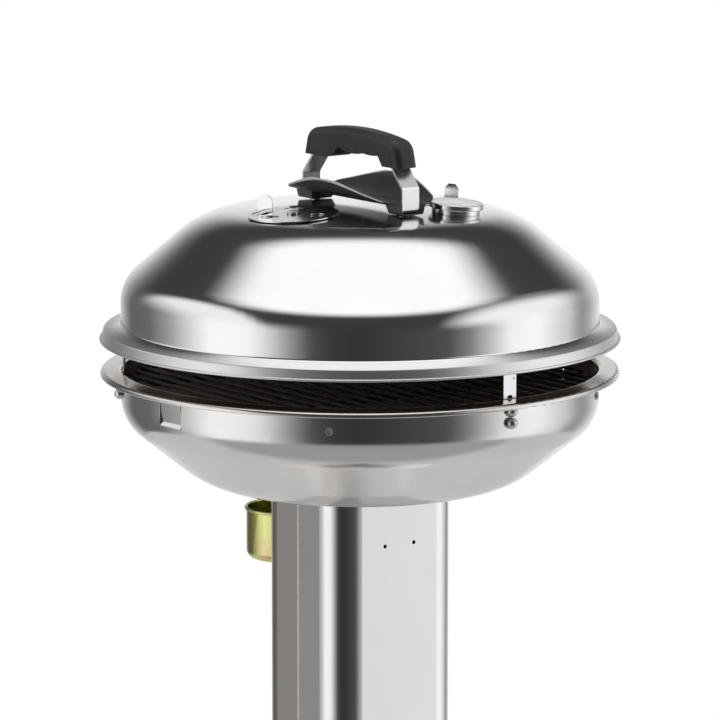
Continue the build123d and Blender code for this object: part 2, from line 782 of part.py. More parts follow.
def vent_plate(plane, radius, hole, ring, tab):
    """Round shutter with a ring of holes and a finger tab lanced out of it."""
    start, width, height, corner = tab
    outline = [
        (start, 0),
        (start + width, 0),
        (start + width, height - corner),
        (start + width - corner, height),
        (start + corner, height),
        (start, height - corner),
    ]
    with BuildPart() as plate:
        with BuildSketch(plane):
            Circle(radius)
            Circle(pivot_radius + pin_gap, mode=Mode.SUBTRACT)
            with PolarLocations(ring, vent_hole_count, start_angle=180 / vent_hole_count):
                Circle(hole, mode=Mode.SUBTRACT)
            with BuildLine():
                Polyline(*outline, close=True)
            make_face(mode=Mode.SUBTRACT)
        extrude(amount=vent_sheet)
        stand = Plane(origin=plane.origin, x_dir=plane.x_dir, z_dir=plane.y_dir * -1)
        with BuildSketch(stand):
            with BuildLine():
                Polyline(*outline, close=True)
            make_face()
        extrude(amount=vent_sheet)
    return plate.part


# Air damper and its pivot on the back of the pillar
damper_tab = (damper_tab_start, damper_tab_width, damper_tab_height, damper_tab_corner)
with BuildPart() as air_damper:
    add(vent_plate(damper_plane.offset(vent_lift), damper_radius, damper_hole, damper_hole_ring, damper_tab))

vent_stack = vent_lift + vent_sheet + seat_gap
with BuildPart() as damper_pivot:
    with Locations(damper_plane):
        Cylinder(pivot_radius, vent_stack, align=upright)
        Cylinder(pivot_radius, pillar_sheet, align=hanging)
        with Locations((0, 0, vent_stack)):
            Cylinder(pivot_head, pivot_cap, align=upright)
        with Locations((0, 0, -pillar_sheet)):
            Cylinder(pivot_head, rivet_cap, align=hanging)

# Lid shell: drawn sheet with a crown, a cone, an upright wall, a flange and a rolled lip
vent_planes = [on_crown(-vent_angle, vent_reach), on_crown(180 - vent_angle, vent_reach)]
vent_turns = [vent_turn_left, vent_turn_right]
gauge_plane = on_crown(gauge_angle, gauge_reach)
bolt_reach = strap_reach - strap_sheet - strap_tab / 2
with BuildPart() as lid_shell:
    with BuildSketch(lid_section):
        with BuildLine():
            FilletPolyline(
                (-lid_sheet, lid_apex),
                (lid_dome_start, lid_apex),
                (lid_crown_radius, lid_crown_edge),
                (bowl_radius, lid_shoulder),
                (bowl_radius, lid_lip + lid_flange_rise),
                (lid_flange_radius, lid_lip),
                (lid_lip_radius, lid_bead),
                radius=(dome_bend, lid_crown_bend, lid_shoulder_bend, lid_flange_bend, lid_lip_bend),
            )
            offset(amount=lid_sheet, side=Side.RIGHT)
        make_face()
        split(bisect_by=Plane.YZ, keep=Keep.TOP)
        with Locations((lid_lip_radius, lid_bead)):
            Circle(lid_bead)
    revolve(axis=Axis.Z)
    for plane, turn in zip(vent_planes, vent_turns):
        with Locations(turned(plane, turn)):
            Cylinder(pivot_radius + pin_gap, 8 * lid_sheet, mode=Mode.SUBTRACT)
            with PolarLocations(vent_hole_ring, vent_hole_count):
                Cylinder(vent_hole, 8 * lid_sheet, mode=Mode.SUBTRACT)
    with Locations(gauge_plane):
        Cylinder(gauge_neck + hole_gap, 8 * lid_sheet, mode=Mode.SUBTRACT)
    for side in (-1, 1):
        with Locations((0, side * bolt_reach, lid_zero + lid_apex)):
            Cylinder(bolt_radius + hole_gap, 12 * lid_sheet, mode=Mode.SUBTRACT)

# Lid vents and their pivots
vent_tab = (vent_tab_start, vent_tab_width, vent_tab_height, vent_tab_corner)
vent_discs = []
for plane, turn in zip(vent_planes, vent_turns):
    with BuildPart() as vent_disc:
        disc_plane = turned(plane, turn).offset(vent_lift)
        add(vent_plate(disc_plane, vent_radius, vent_hole, vent_hole_ring, vent_tab))
    vent_discs.append(vent_disc)

with BuildPart() as vent_pivots:
    for plane in vent_planes:
        with Locations(plane):
            Cylinder(pivot_radius, vent_stack, align=upright)
            Cylinder(pivot_radius, lid_sheet + meet_gap, align=hanging)
            with Locations((0, 0, vent_stack)):
                Cylinder(pivot_head, pivot_cap, align=upright)
            with Locations((0, 0, -lid_sheet - meet_gap)):
                Cylinder(pivot_head, rivet_cap, align=hanging)

# Heat shield: a trough held above the lid, pressed down at each end into a foot under the strap
shield_base = lid_apex + shield_lift
shield_tip = shield_base + shield_rise
wing_turn = 2 * atan2(shield_rise, shield_half_width - shield_floor_half)
side_bulge = shield_half_width - shield_shoulder_width
side_radius = (shield_shoulder**2 + side_bulge**2) / (2 * side_bulge)
shield_sweep = shield_shoulder / (side_radius - side_bulge)
foot_crown = lid_apex - dome_bend + sqrt(dome_bend**2 - (bolt_reach - spacer_radius) ** 2)
foot_level = foot_crown + meet_gap + spacer_height
foot_tilt = radians(shield_foot_lean)
foot_skin = shield_sheet * (1 - sin(foot_tilt)) / cos(foot_tilt)
foot_length = 2 * (shield_half_length - shield_foot_start)
foot_shells = []
for skin in (foot_skin, 0):
    floor_height = foot_level if skin else foot_level + shield_sheet
    floor_start = shield_foot_start + foot_skin - skin
    roof_height = shield_base + shield_sheet / 2 if skin else shield_base + 2 * shield_sheet
    with BuildPart() as foot_shell:
        with BuildSketch(Plane.XY.offset(lid_zero + floor_height)):
            for side in (-1, 1):
                with Locations((0, side * (floor_start + foot_length / 2))):
                    Rectangle(2 * (shield_foot_half + skin), foot_length)
        extrude(amount=roof_height - floor_height, taper=-shield_foot_lean)
        pressed = foot_shell.edges().filter_by(lambda edge: edge.center().Z < lid_zero + shield_base)
        fillet(pressed, shield_foot_bend + shield_sheet if skin else shield_foot_bend)
    foot_shells.append(foot_shell)

with BuildPart() as heat_shield:
    with BuildSketch(lid_section):
        with BuildLine():
            TangentArc(
                (-shield_half_width, shield_tip),
                (-shield_floor_half, shield_base),
                tangent=(cos(wing_turn), -sin(wing_turn)),
            )
            Line((-shield_floor_half, shield_base), (shield_floor_half, shield_base))
            TangentArc((shield_floor_half, shield_base), (shield_half_width, shield_tip), tangent=(1, 0))
            offset(amount=shield_sheet, side=Side.LEFT)
        make_face()
    extrude(amount=shield_half_length, both=True)
    add(foot_shells[0].part)
    add(foot_shells[1].part, mode=Mode.SUBTRACT)
    with BuildSketch(Plane.XY.offset(lid_zero)):
        with BuildLine():
            for side in (-1, 1):
                ThreePointArc(
                    (side * shield_shoulder_width, -shield_shoulder),
                    (side * shield_half_width, 0),
                    (side * shield_shoulder_width, shield_shoulder),
                )
            for end in (-1, 1):
                tip = end * shield_half_length
                Line((-shield_tip_width, tip), (shield_tip_width, tip))
                for side in (-1, 1):
                    TangentArc(
                        (side * shield_shoulder_width, end * shield_shoulder),
                        (side * shield_tip_width, tip),
                        tangent=(-side * shield_sweep, end),
                    )
        make_face()
    extrude(amount=2 * lid_apex, mode=Mode.INTERSECT)
    for side in (-1, 1):
        with Locations((0, side * bolt_reach, lid_zero + foot_level)):
            Cylinder(bolt_radius + hole_gap, 4 * shield_sheet, mode=Mode.SUBTRACT)

# Handle straps: bent strips from under the grip down to the feet of the shield
strap_base = foot_level + shield_sheet
lean_out = sin(radians(strap_lean))
lean_up = cos(radians(strap_lean))
arm_start = (strap_reach, strap_base + strap_rise)
arm_middle = (
    strap_reach - (strap_arm * lean_out + strap_sheet * lean_up) / 2,
    strap_base + strap_rise + (strap_arm * lean_up - strap_sheet * lean_out) / 2,
)
handle_straps = []
for angle in (0, 180):
    with BuildPart() as handle_strap:
        with BuildSketch(meridian(angle, lid_zero)):
            with BuildLine():
                FilletPolyline(
                    (strap_reach - strap_sheet - strap_tab, strap_base),
                    (strap_reach, strap_base),
                    arm_start,
                    (strap_reach - strap_arm * lean_out, arm_start[1] + strap_arm * lean_up),
                    radius=(strap_bend + strap_sheet, strap_bend + strap_sheet),
                )
                offset(amount=strap_sheet, side=Side.LEFT)
            make_face()
        extrude(amount=strap_width / 2, both=True)
        with Locations(outward(angle) * bolt_reach + Vector(0, 0, lid_zero + strap_base)):
            Cylinder(bolt_radius + hole_gap, 4 * strap_sheet, mode=Mode.SUBTRACT)
    handle_straps.append(handle_strap)

# Grip: a moulded bar with two legs, swells for the fingers and a slot for each strap
grip_section = meridian(0, lid_zero)
with BuildPart() as handle_grip:
    with BuildSketch(grip_section) as grip_face:
        with BuildLine():
            ThreePointArc(
                (-grip_shoulder, grip_shoulder_height),
                (0, grip_crown),
                (grip_shoulder, grip_shoulder_height),
            )
            Line((grip_shoulder, grip_shoulder_height), (grip_half, grip_leg_foot))
            Line((grip_half, grip_leg_foot), (grip_leg_front, grip_leg_foot))
            Line((grip_leg_front, grip_leg_foot), (grip_arch_inner, grip_palm))
            SagittaArc((grip_arch_inner, grip_palm), (grip_notch_front, grip_palm), grip_swell_front)
            SagittaArc(
                (grip_notch_front, grip_palm),
                (-grip_notch_rear, grip_palm + grip_notch),
                grip_swell,
            )
            SagittaArc(
                (-grip_notch_rear, grip_palm + grip_notch),
                (-grip_leg_rear, grip_leg_foot),
                grip_swell_rear,
            )
            Line((-grip_leg_rear, grip_leg_foot), (-grip_half, grip_leg_foot))
            Line((-grip_half, grip_leg_foot), (-grip_shoulder, grip_shoulder_height))
        make_face()
        fillet(grip_face.vertices().sort_by(Axis.Y)[-2:], grip_corner)
    extrude(amount=grip_width / 2, both=True)
    grip_rims = handle_grip.faces().filter_by(Axis.X).edges()
    above_palm = lid_zero + grip_palm + grip_swell
    above_foot = lid_zero + grip_leg_foot + grip_notch
    back_rims = grip_rims.filter_by(lambda rim: rim.center().Z > above_palm)
    leg_rims = grip_rims.filter_by(lambda rim: abs(rim.center().Y) > grip_leg_front)
    fillet(back_rims + leg_rims.filter_by(lambda rim: above_palm > rim.center().Z > above_foot), grip_round)
    for angle in (0, 180):
        with BuildSketch(meridian(angle, lid_zero)):
            with Locations(arm_middle):
                Rectangle(strap_sheet + 2 * meet_gap, strap_arm + 2 * meet_gap, rotation=strap_lean)
        extrude(amount=strap_width / 2 + meet_gap, both=True, mode=Mode.SUBTRACT)

# Bolts that hold straps and shield to the lid, with spacers under the shield
with BuildPart() as handle_spacers:
    for side in (-1, 1):
        with Locations((0, side * bolt_reach, lid_zero + foot_level)):
            Cylinder(spacer_radius, spacer_height, align=hanging)
            Cylinder(bolt_radius + hole_gap, 2 * spacer_radius, mode=Mode.SUBTRACT)

bolt_drop = strap_base + strap_sheet - lid_apex + 4 * lid_sheet
with BuildPart() as handle_bolts:
    for side in (-1, 1):
        with Locations((0, side * bolt_reach, lid_zero + strap_base + strap_sheet)):
            Cylinder(bolt_head, bolt_cap, align=upright)
            Cylinder(bolt_radius, bolt_drop + nut_height, align=hanging)

nut_seat = lid_apex - dome_bend + sqrt(dome_bend**2 - (bolt_reach + bolt_head) ** 2)
nut_seat -= 2 * lid_sheet
with BuildPart() as handle_nuts:
    with BuildSketch(Plane.XY.offset(lid_zero + nut_seat)):
        with GridLocations(bolt_reach, 2 * bolt_reach, 1, 2):
            RegularPolygon(bolt_head, 6)
            Circle(bolt_radius + pin_gap, mode=Mode.SUBTRACT)
    extrude(amount=-nut_height)

# Thermometer: case, dial, needle, glass, probe and nut
dial_height = meet_gap + gauge_body_height + gauge_bezel_height - gauge_glass_sheet
dial_height -= gauge_window_depth
with BuildPart() as thermometer_case:
    with Locations(gauge_plane.offset(meet_gap)):
        Cylinder(gauge_body, gauge_body_height, align=upright)
        with Locations((0, 0, gauge_body_height)):
            Cylinder(gauge_bezel, gauge_bezel_height, align=upright)
    rims = thermometer_case.edges().filter_by(GeomType.CIRCLE)
    fillet(rims.filter_by(lambda rim: rim.radius > gauge_glass), gauge_edge)
    with Locations(gauge_plane.offset(meet_gap)):
        Cylinder(gauge_neck, gauge_neck_length, align=hanging)
        with Locations((0, 0, gauge_body_height + gauge_bezel_height)):
            Cylinder(gauge_glass + pin_gap, gauge_glass_sheet, align=hanging, mode=Mode.SUBTRACT)
    with Locations(gauge_plane.offset(dial_height)):
        Cylinder(gauge_window, 2 * gauge_window_depth, align=upright, mode=Mode.SUBTRACT)
        Cylinder(probe_radius + pin_gap, 2 * gauge_neck_length, align=hanging, mode=Mode.SUBTRACT)

with BuildPart() as thermometer_dial:
    with Locations(gauge_plane.offset(dial_height)):
        Cylinder(gauge_window - meet_gap, gauge_dial_sheet, align=upright)
        Cylinder(spindle_radius + pin_gap, 4 * gauge_dial_sheet, mode=Mode.SUBTRACT)

needle_height = dial_height + gauge_dial_sheet + seat_gap
with BuildPart() as thermometer_needle:
    with BuildSketch(turned(gauge_plane, needle_rest).offset(needle_height)):
        Circle(needle_hub)
        with Locations((-needle_tail, 0)):
            Rectangle(needle_tail + needle_length, needle_width, align=(Align.MIN, Align.CENTER))
        Circle(spindle_radius + pin_gap, mode=Mode.SUBTRACT)
    extrude(amount=needle_sheet)

with BuildPart() as thermometer_probe:
    with Locations(gauge_plane.offset(dial_height)):
        Cylinder(probe_radius, probe_length, align=hanging)
        Cylinder(spindle_radius, needle_height + needle_sheet - dial_height, align=upright)

with BuildPart() as thermometer_glass:
    with Locations(gauge_plane.offset(meet_gap + gauge_body_height + gauge_bezel_height)):
        Cylinder(gauge_glass, gauge_glass_sheet, align=hanging)

with BuildPart() as thermometer_nut:
    with BuildSketch(gauge_plane.offset(-2 * lid_sheet)):
        RegularPolygon(gauge_nut, 6)
        Circle(gauge_neck + pin_gap, mode=Mode.SUBTRACT)
    extrude(amount=-nut_height)

pieces = {
    "base_plate": base_plate,
    "base_feet": base_feet,
    "pillar_foot": pillar_foot,
    "foot_bolts": foot_bolts,
    "foot_nuts": foot_nuts,
    "pillar_front": pillar_front,
    "pillar_rear": pillar_rear,
    "seam_rivets": seam_rivets,
    "pillar_head": pillar_head,
    "bowl": bowl,
    "bowl_bolts": bowl_bolts,
    "bowl_nuts": bowl_nuts,
    "lid_rest_front": lid_rests[0],
    "lid_rest_left": lid_rests[1],
    "lid_rest_right": lid_rests[2],
    "rest_bolts": rest_bolts,
    "rest_dome_nuts": rest_dome_nuts,
    "grate_studs": grate_studs,
    "stud_dome_nuts": stud_dome_nuts,
    "cooking_grate": cooking_grate,
    "burn_pot": burn_pot,
    "heat_deflector": heat_deflector,
    "grease_spout": grease_spout,
    "spout_nut": spout_nut,
    "grease_cup": grease_cup,
    "cup_hanger": cup_hanger,
    "cup_rivets": cup_rivets,
    "cup_hook": cup_hook,
    "hook_screws": hook_screws,
    "air_damper": air_damper,
    "damper_pivot": damper_pivot,
    "lid_shell": lid_shell,
    "vent_disc_left": vent_discs[0],
    "vent_disc_right": vent_discs[1],
    "vent_pivots": vent_pivots,
    "heat_shield": heat_shield,
    "handle_strap_front": handle_straps[0],
    "handle_strap_rear": handle_straps[1],
    "handle_grip": handle_grip,
    "handle_spacers": handle_spacers,
    "handle_bolts": handle_bolts,
    "handle_nuts": handle_nuts,
    "thermometer_case": thermometer_case,
    "thermometer_dial": thermometer_dial,
    "thermometer_needle": thermometer_needle,
    "thermometer_probe": thermometer_probe,
    "thermometer_glass": thermometer_glass,
    "thermometer_nut": thermometer_nut,
}
os.makedirs("parts", exist_ok=True)
for name, piece in pieces.items():
    piece.part.label = name
    export_step(piece.part, f"parts/{name}.step")
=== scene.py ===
import bpy
import json
from math import pi, radians
from mathutils import Matrix, Vector


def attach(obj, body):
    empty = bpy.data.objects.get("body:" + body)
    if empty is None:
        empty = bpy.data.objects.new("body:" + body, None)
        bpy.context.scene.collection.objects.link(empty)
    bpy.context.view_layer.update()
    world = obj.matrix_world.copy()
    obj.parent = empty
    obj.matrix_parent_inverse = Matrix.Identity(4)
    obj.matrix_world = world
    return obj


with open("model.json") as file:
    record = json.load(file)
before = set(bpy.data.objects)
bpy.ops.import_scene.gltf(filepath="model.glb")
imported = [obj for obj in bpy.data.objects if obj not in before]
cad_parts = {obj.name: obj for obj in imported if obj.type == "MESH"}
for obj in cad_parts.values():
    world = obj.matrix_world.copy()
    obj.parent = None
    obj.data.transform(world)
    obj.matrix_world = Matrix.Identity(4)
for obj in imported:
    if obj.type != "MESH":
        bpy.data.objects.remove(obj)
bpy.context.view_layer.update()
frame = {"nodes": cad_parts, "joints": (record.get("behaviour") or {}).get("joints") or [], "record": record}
nodes = frame["nodes"]
scene = bpy.context.scene
scene.view_settings.view_transform = "Standard"

# Camera: the angle of the photograph
CAMERA_PLACE = (-2.9389, -4.0451, 1.7342)
CAMERA_TURN = (radians(80.227), 0.0, radians(-36.0))
CAMERA_SENSOR = 36.0
CAMERA_LENS = 230.97
CAMERA_REACH = 60.0
TO_CAMERA = Vector((-0.588, -0.809, 0.0))
TO_LEFT = Vector((-0.809, 0.588, 0.0))

camera_data = bpy.data.cameras.new("camera")
camera_data.sensor_width = CAMERA_SENSOR
camera_data.lens = CAMERA_LENS
camera_data.clip_end = CAMERA_REACH
camera = bpy.data.objects.new("camera", camera_data)
camera.location = CAMERA_PLACE
camera.rotation_euler = CAMERA_TURN
scene.collection.objects.link(camera)
scene.camera = camera


# Short ways to add and link nodes

def put(tree, kind, **settings):
    """Adds a node and sets its plain settings."""
    node = tree.nodes.new(kind)
    for name, value in settings.items():
        setattr(node, name, value)
    return node


def join(tree, start, end):
    """Links an output to an input."""
    tree.links.new(start, end)


def feed(tree, slot, value):
    """Gives an input a plain value or a link."""
    if isinstance(value, (int, float, tuple, Vector)):
        slot.default_value = value
    else:
        join(tree, value, slot)


def math(tree, operation, *values):
    """A math node whose inputs are sockets or numbers."""
    node = put(tree, "ShaderNodeMath", operation=operation)
    for slot, value in zip(node.inputs, values):
        feed(tree, slot, value)
    return node.outputs[0]


def vector(tree, operation, *values):
    """A vector math node whose inputs are sockets or plain vectors."""
    node = put(tree, "ShaderNodeVectorMath", operation=operation)
    for slot, value in zip(node.inputs, values):
        feed(tree, slot, value)
    return node.outputs["Value" if operation in ("LENGTH", "DOT_PRODUCT") else "Vector"]


def split(tree, place):
    """The three coordinates of a vector."""
    node = put(tree, "ShaderNodeSeparateXYZ")
    join(tree, place, node.inputs[0])
    return tuple(node.outputs)


def flat_length(tree, across, along):
    """Length of a flat vector from its two coordinates."""
    square = math(tree, "ADD", math(tree, "POWER", across, 2.0), math(tree, "POWER", along, 2.0))
    return math(tree, "SQRT", square)


def spread(tree, value, low, high, out_low=0.0, out_high=1.0, smooth=False):
    """Maps one range of a value onto another."""
    node = put(tree, "ShaderNodeMapRange")
    node.interpolation_type = "SMOOTHSTEP" if smooth else "LINEAR"
    join(tree, value, node.inputs["Value"])
    node.inputs["From Min"].default_value = low
    node.inputs["From Max"].default_value = high
    node.inputs["To Min"].default_value = out_low
    node.inputs["To Max"].default_value = out_high
    return node.outputs["Result"]


def fade(tree, value, low, high):
    """Nought at one end of a range, one at the other, with soft ends."""
    return spread(tree, value, low, high, smooth=True)


def all_of(tree, *tests):
    """One where every test is one."""
    whole = tests[0]
    for test in tests[1:]:
        whole = math(tree, "MULTIPLY", whole, test)
    return whole


def negate(tree, test):
    """One where the test is nought."""
    return math(tree, "SUBTRACT", 1.0, test)


def blend_colour(tree, factor, first, second):
    """Goes from the first colour to the second."""
    node = put(tree, "ShaderNodeMix", data_type="RGBA")
    join(tree, factor, node.inputs["Factor"])
    for slot, value in ((node.inputs["A"], first), (node.inputs["B"], second)):
        feed(tree, slot, (*value, 1.0) if isinstance(value, tuple) else value)
    return node.outputs["Result"]


def blend_number(tree, factor, first, second):
    """Goes from the first number to the second."""
    node = put(tree, "ShaderNodeMix", data_type="FLOAT")
    join(tree, factor, node.inputs["Factor"])
    feed(tree, node.inputs["A"], first)
    feed(tree, node.inputs["B"], second)
    return node.outputs["Result"]


def noise(tree, place, scale=1.0, detail=2.0, roughness=0.5, dimensions="3D"):
    """Soft random levels between nought and one."""
    node = put(tree, "ShaderNodeTexNoise", noise_dimensions=dimensions)
    join(tree, place, node.inputs["Vector"])
    feed(tree, node.inputs["Scale"], scale)
    node.inputs["Detail"].default_value = detail
    node.inputs["Roughness"].default_value = roughness
    return node.outputs[0]


# Shared effects

# The range that most of a noise's levels lie in
NOISE_MIDDLE = (0.3, 0.7)


def new_effect(name, setting, value, output):
    """An empty shader group that takes a place and one number, and gives one number."""
    group = bpy.data.node_groups.new(name, "ShaderNodeTree")
    group.interface.new_socket("Place", in_out="INPUT", socket_type="NodeSocketVector")
    number = group.interface.new_socket(setting, in_out="INPUT", socket_type="NodeSocketFloat")
    number.default_value = value
    group.interface.new_socket(output, in_out="OUTPUT", socket_type="NodeSocketFloat")
    given = put(group, "NodeGroupInput").outputs
    return group, given["Place"], given[setting], put(group, "NodeGroupOutput").inputs[output]


def make_turned_grain():
    """Fine rings round the upright axis, as polishing on a lathe leaves them."""
    group, place, fineness, result = new_effect("turned_grain", "Fineness", 900.0, "Grain")
    x, y, z = split(group, place)
    ring = put(group, "ShaderNodeCombineXYZ")
    for slot, value in zip(ring.inputs, (flat_length(group, x, y), z)):
        join(group, math(group, "MULTIPLY", value, fineness), slot)
    join(group, noise(group, ring.outputs[0], detail=3.0, dimensions="2D"), result)
    return group


def make_drawn_grain():
    """Fine upright lines, as on brushed sheet."""
    group, place, fineness, result = new_effect("drawn_grain", "Fineness", 900.0, "Grain")
    line = put(group, "ShaderNodeCombineXYZ")
    upright_fineness = 6.0
    for slot, value, scale in zip(line.inputs, split(group, place), (fineness, fineness, upright_fineness)):
        join(group, math(group, "MULTIPLY", value, scale), slot)
    join(group, noise(group, line.outputs[0], detail=3.0), result)
    return group


def make_smudges():
    """Broad soft patches where a surface has been wiped and handled."""
    group, place, size, result = new_effect("smudges", "Size", 12.0, "Patch")
    join(group, fade(group, noise(group, place, size, 5.0, 0.55), *NOISE_MIDDLE), result)
    return group


def make_fine_grit():
    """Small even bumps of a moulded or coated surface."""
    group, place, fineness, result = new_effect("fine_grit", "Fineness", 1500.0, "Grit")
    join(group, noise(group, place, fineness), result)
    return group


turned_grain = make_turned_grain()
drawn_grain = make_drawn_grain()
smudges = make_smudges()
fine_grit = make_fine_grit()


# Materials

# Polishing lines: their depth in metres, their and the smudges' share in the gloss, and the range of both together
LINE_DEPTH = 0.0004
LINE_SHARE = 0.6
SMUDGE_SHARE = 0.4
GLOSS_MIDDLE = (0.2, 0.8)


class Finish:
    """One material with its principled shader, object coordinates and shared effects."""

    def __init__(self, name, metallic=0.0):
        self.material = bpy.data.materials.new(name)
        self.material.use_nodes = True
        self.tree = self.material.node_tree
        self.shader = self.tree.nodes["Principled BSDF"]
        self.shader.inputs["Metallic"].default_value = metallic
        self.place = put(self.tree, "ShaderNodeTexCoord").outputs["Object"]
        self.relief = None

    def effect(self, group, **values):
        """What a shared effect gives on this material."""
        node = put(self.tree, "ShaderNodeGroup", node_tree=group)
        join(self.tree, self.place, node.inputs["Place"])
        for label, value in values.items():
            node.inputs[label].default_value = value
        return node.outputs[0]

    def colour(self, socket):
        join(self.tree, socket, self.shader.inputs["Base Color"])

    def roughness(self, socket):
        join(self.tree, socket, self.shader.inputs["Roughness"])

    def given(self, label):
        """What feeds an input of the shader so far."""
        return self.shader.inputs[label].links[0].from_socket

    def bump(self, height, strength, distance):
        """Small relief from a height."""
        self.relief = put(self.tree, "ShaderNodeBump")
        self.relief.inputs["Strength"].default_value = strength
        self.relief.inputs["Distance"].default_value = distance
        join(self.tree, height, self.relief.inputs["Height"])
        join(self.tree, self.relief.outputs[0], self.shader.inputs["Normal"])

    def tint(self, mask, colour):
        """Another tone where the mask is one."""
        self.colour(blend_colour(self.tree, mask, self.given("Base Color"), colour))

    def recolour(self, mask, colour, roughness):
        """Another tone and gloss where the mask is one."""
        self.tint(mask, colour)
        self.roughness(blend_number(self.tree, mask, self.given("Roughness"), roughness))

    def from_axis(self):
        """The place as seen from the upright axis, without its height."""
        return vector(self.tree, "MULTIPLY", self.place, (1.0, 1.0, 0.0))

    def polar(self):
        """Distance from the upright axis, and height."""
        return vector(self.tree, "LENGTH", self.from_axis()), split(self.tree, self.place)[2]

    def faces_against(self, direction):
        """One on faces that are turned against a direction."""
        true_normal = put(self.tree, "ShaderNodeNewGeometry").outputs["True Normal"]
        share = vector(self.tree, "DOT_PRODUCT", direction, true_normal)
        return math(self.tree, "LESS_THAN", share, 0.0)

    def turned_normal(self, mask, lean):
        """Where the mask is one, shades with a turned surface's normal, which leans outward by an angle."""
        tree = self.tree
        outward = put(tree, "ShaderNodeVectorMath", operation="SCALE")
        join(tree, vector(tree, "NORMALIZE", self.from_axis()), outward.inputs[0])
        join(tree, math(tree, "SINE", lean), outward.inputs["Scale"])
        upward = put(tree, "ShaderNodeCombineXYZ")
        join(tree, math(tree, "COSINE", lean), upward.inputs["Z"])
        turned = vector(tree, "ADD", outward.outputs[0], upward.outputs[0])
        normal = put(tree, "ShaderNodeMix", data_type="VECTOR")
        join(tree, mask, normal.inputs["Factor"])
        join(tree, put(tree, "ShaderNodeNewGeometry").outputs["Normal"], normal.inputs["A"])
        join(tree, turned, normal.inputs["B"])
        join(tree, vector(tree, "NORMALIZE", normal.outputs["Result"]), self.relief.inputs["Normal"])


def polished_sheet(name, colour, dull, smooth, rough, fineness=900.0, grain=turned_grain, strength=0.03):
    """Stainless sheet: its gloss and tone change with the polishing lines and with smudges."""
    finish = Finish(name, metallic=1.0)
    tree = finish.tree
    lines = finish.effect(grain, Fineness=fineness)
    patch = finish.effect(smudges, Size=9.0)
    finish.colour(blend_colour(tree, patch, colour, dull))
    shares = ((lines, LINE_SHARE), (patch, SMUDGE_SHARE))
    mixed = math(tree, "ADD", *(math(tree, "MULTIPLY", value, share) for value, share in shares))
    finish.roughness(spread(tree, mixed, *GLOSS_MIDDLE, smooth, rough))
    finish.bump(lines, strength, LINE_DEPTH)
    return finish


def coated(name, colour, worn, smooth, rough, fineness, strength, distance):
    """Plastic, enamel or paint with fine grit and a slow change of tone."""
    finish = Finish(name)
    grit = finish.effect(fine_grit, Fineness=fineness)
    patch = finish.effect(smudges, Size=18.0)
    finish.colour(blend_colour(finish.tree, patch, colour, worn))
    finish.roughness(spread(finish.tree, grit, *NOISE_MIDDLE, smooth, rough))
    finish.bump(grit, strength, distance)
    return finish


# The CAD meshes of the turned sheets have coarse bends, so their normals are worked out from the profile.
# Centres of the bends: distance from the axis and height, in metres
LID_FILLET = (0.2662, 0.9187)
LID_EDGE = (0.27777, 0.9081)
BOWL_CREST = (0.2652, 0.863194)
BOWL_EDGE = (0.27975, 0.861221)
# Ends of the zones that are shaded so, in metres
LID_SHOULDER = 0.9395
LID_SHOULDER_FADE = 0.004
LID_BEAD = 0.9011
BOWL_SHOULDER = 0.8360
BOWL_BEAD = 0.8621
BOWL_WALL = (0.2619, 0.2626)
BOWL_SHEET = 0.0012
# Leans from level, in degrees; the lid's flange shades as if it were steeper than it is
LID_FLANGE = 34.0
LID_LIP = 74.94
BOWL_RIM = 3.81
BOWL_LIP = 81.03
UPRIGHT = 90.0
# Faces that look further down than this are the underside of the rim
UNDERSIDE = -0.15
# Heights at which a change of tone starts and is complete, in metres
LID_DULL = (LID_FILLET[1] - 0.002, LID_FILLET[1] - 0.007)
BOWL_TINT = (0.858, 0.866)
BOWL_BROWNED = (0.862, 0.850)


def bend_lean(tree, radius, height, centre, low, high, hollow=False):
    """Lean of a turned bend from level, held between two limits in degrees."""
    sides = []
    for value, middle in zip((radius, height), centre):
        sides.append(math(tree, "SUBTRACT", middle, value) if hollow else math(tree, "SUBTRACT", value, middle))
    angle = math(tree, "ARCTAN2", *sides)
    return math(tree, "MINIMUM", math(tree, "MAXIMUM", angle, radians(low)), radians(high))


